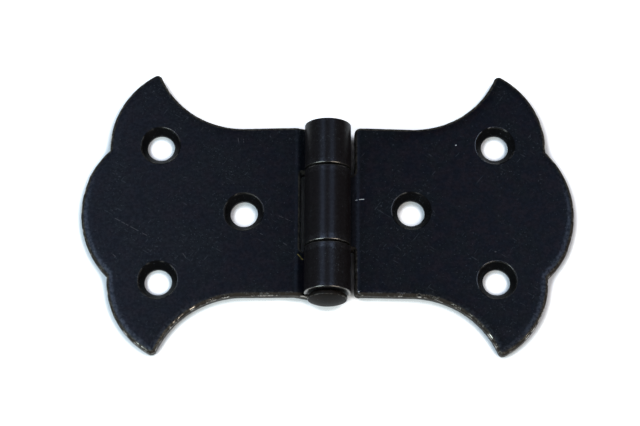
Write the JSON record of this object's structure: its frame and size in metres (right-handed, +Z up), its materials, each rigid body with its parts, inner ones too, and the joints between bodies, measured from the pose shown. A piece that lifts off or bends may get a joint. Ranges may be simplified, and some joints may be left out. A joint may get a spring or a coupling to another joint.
{
  "type": "cabinet hinge",
  "caption": "Flat butterfly cabinet hinge: two flared leaves with countersunk screw holes, curled knuckles and a headed pin.",
  "frame": {"origin": "on the surface that the open hinge lies on, straight below the middle of the pin", "axes": "+X across the leaves towards the right leaf, +Y along the pin away from its head, +Z up out of the front faces"},
  "size_m": [0.065, 0.039, 0.0062],
  "materials": {
    "blackened_sheet": "satin blue-black oxide on rolled and stamped sheet steel, worn bare along the edges",
    "blackened_pin": "satin black oxide on turned steel"
  },
  "bodies": {
    "left_side": {"left_leaf": "blackened_sheet", "hinge_pin": "blackened_pin"},
    "right_side": {"right_leaf": "blackened_sheet"}
  },
  "joints": [
    {"name": "leaf_swing", "type": "hinge", "parent": "left_side", "child": "right_side", "pos_m": [0, 0, 0.00313], "axis": [0, -1, 0], "range_deg": [-95, 184.4]}
  ]
}
